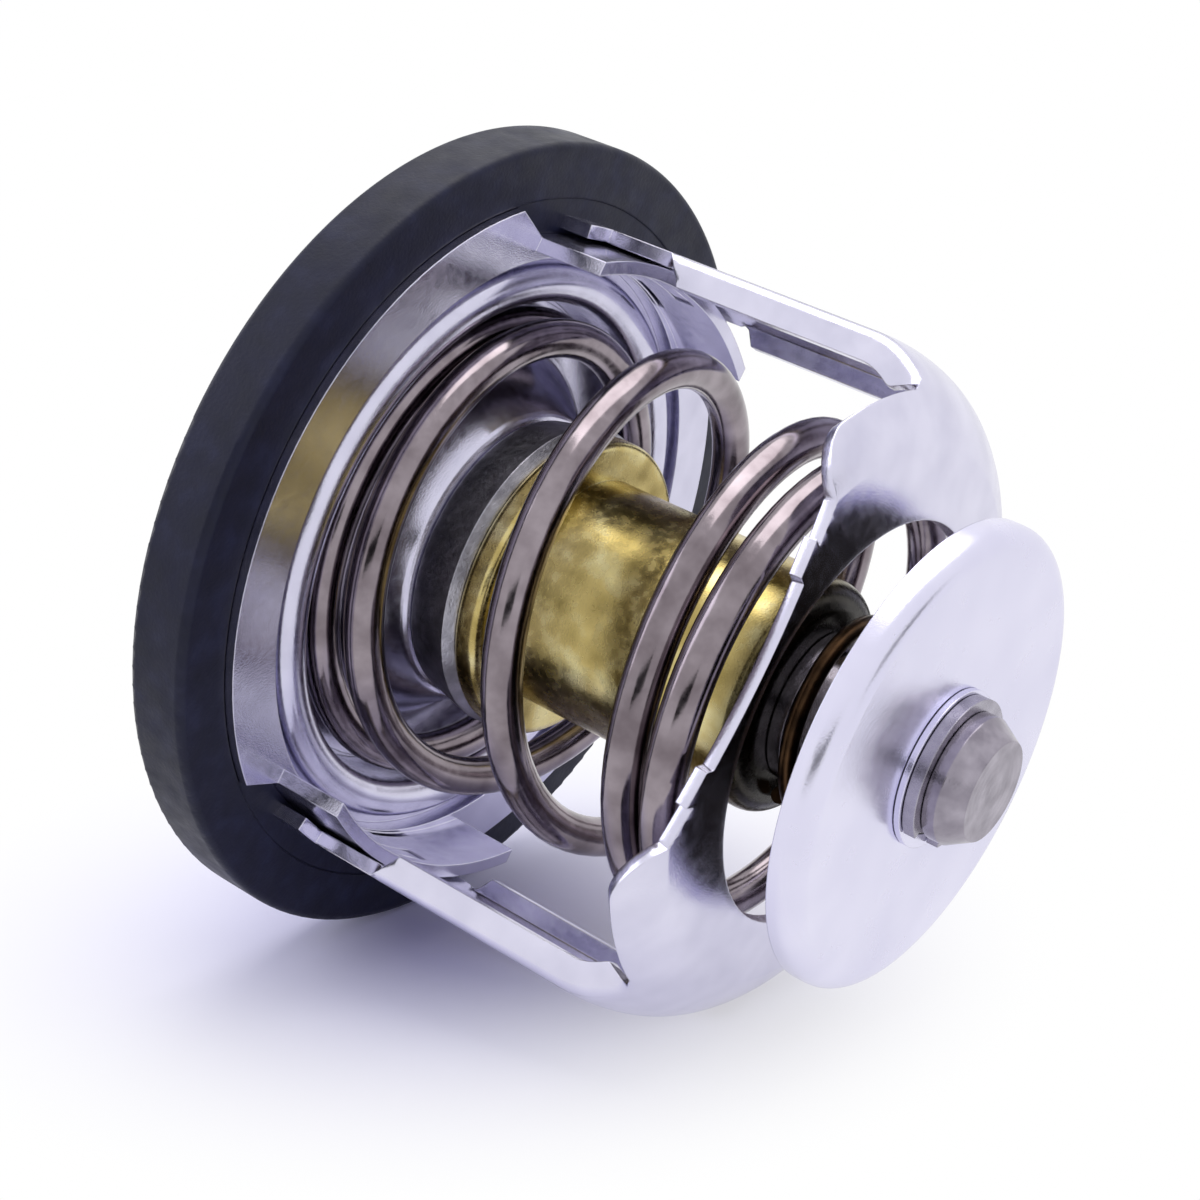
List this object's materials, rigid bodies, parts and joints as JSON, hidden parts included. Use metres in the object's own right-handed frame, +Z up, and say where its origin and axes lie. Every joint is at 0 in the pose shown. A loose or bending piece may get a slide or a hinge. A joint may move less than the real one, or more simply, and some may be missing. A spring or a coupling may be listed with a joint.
{
  "type": "coolant thermostat",
  "caption": "Wax-pellet coolant thermostat: rubber-rimmed flange, sprung valve, two-legged frame and a sprung bypass disc.",
  "frame": {"origin": "on the valve's axis, in the middle of the seal ring's thickness, with the part lying as it rests", "axes": "+Z up; the valve's axis lies in the XZ plane, its bypass side towards +X and 12.9 degrees below level"},
  "size_m": [0.0575, 0.056, 0.0556],
  "materials": {
    "seal_rubber": "matte",
    "wiper_rubber": "matte",
    "boot_rubber": "matte",
    "plated_steel": "satin",
    "frame_steel": "satin",
    "disc_steel": "satin",
    "turned_steel": "satin",
    "ground_steel": "polished",
    "spring_steel": "satin",
    "bypass_wire": "satin",
    "dark_steel": "satin",
    "washer_steel": "satin",
    "clip_steel": "satin",
    "capsule_brass": "satin",
    "cover_brass": "satin",
    "spindle_brass": "satin",
    "wax": "matte"
  },
  "bodies": {
    "body": {"seal_ring": "seal_rubber", "flange": "plated_steel", "bridge": "plated_steel", "piston_seat": "turned_steel", "piston": "ground_steel", "lower_frame": "frame_steel", "main_spring": "spring_steel"},
    "valve": {"valve_plate": "plated_steel", "guide_ring": "dark_steel", "capsule": "capsule_brass", "capsule_cover": "cover_brass", "piston_wiper": "wiper_rubber", "backing_washer": "washer_steel", "boot": "boot_rubber", "wax_charge": "wax", "spindle": "spindle_brass", "thrust_washer": "washer_steel", "spindle_clip": "clip_steel"},
    "bypass": {"bypass_disc": "disc_steel", "bypass_spring": "bypass_wire"}
  },
  "joints": [
    {"name": "valve_lift", "type": "slide", "parent": "body", "child": "valve", "axis": [0.9748, 0, -0.2233], "range_m": [0, 0.008], "stiffness_N_per_m": 7900, "springref_m": -0.004, "deforming": ["main_spring"]},
    {"name": "bypass_slide", "type": "slide", "parent": "valve", "child": "bypass", "axis": [0.9748, 0, -0.2233], "range_m": [-0.0025, 0], "stiffness_N_per_m": 2450, "springref_m": 0.003, "deforming": ["bypass_spring"]}
  ]
}
